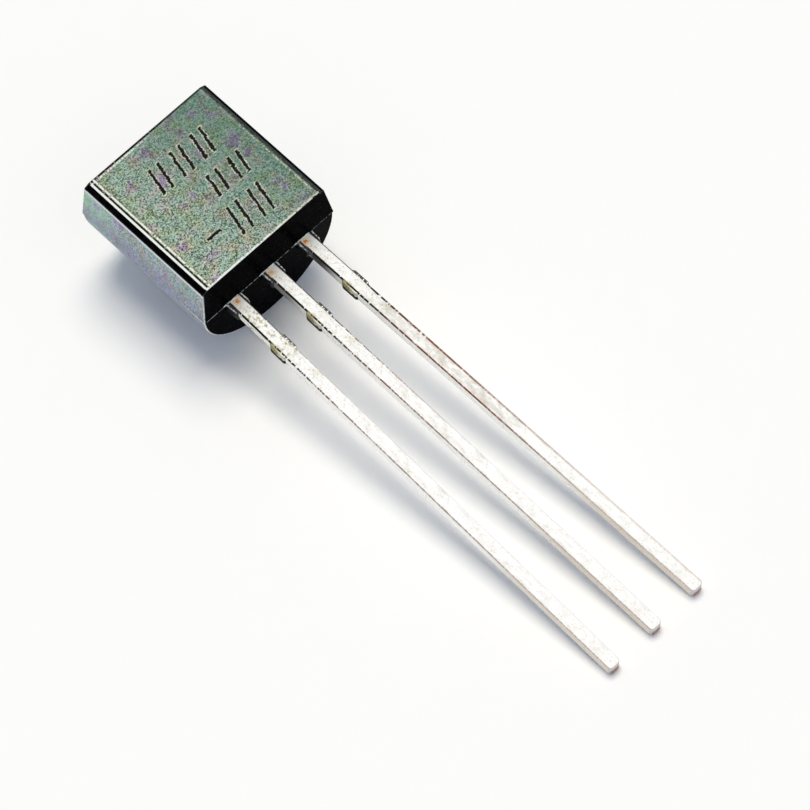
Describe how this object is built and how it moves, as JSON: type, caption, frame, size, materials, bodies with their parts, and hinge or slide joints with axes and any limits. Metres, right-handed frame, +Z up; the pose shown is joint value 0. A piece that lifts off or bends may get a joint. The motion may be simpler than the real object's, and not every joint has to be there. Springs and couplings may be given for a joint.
{
  "type": "to-92 transistor",
  "caption": "Small moulded transistor with one flat side, a rounded back and a row of straight tinned leads; it lies on its back and its lead tips.",
  "frame": {"origin": "on the floor under the middle of the bounding box, with the part lying on its rounded back and its lead tips", "axes": "+Z up out of the flat side, which is pitched 5.5 degrees towards the leads; -Y the way the leads run; +X towards the collector lead"},
  "size_m": [0.0046, 0.0186, 0.0041],
  "materials": {
    "epoxy": "filled epoxy: finely textured and matt on the flat and the sides, smooth and glossy on the bevels and the ends",
    "tinned_copper": "bright tin plating over copper, bare copper where the tips and the dam bar were sheared",
    "silicon": "polished",
    "gold": "bright drawn wire"
  },
  "bodies": {
    "root": {"case": "epoxy", "emitter_lead": "tinned_copper", "base_lead": "tinned_copper", "collector_lead": "tinned_copper", "chip": "silicon", "emitter_wire": "gold", "base_wire": "gold"}
  },
  "joints": []
}
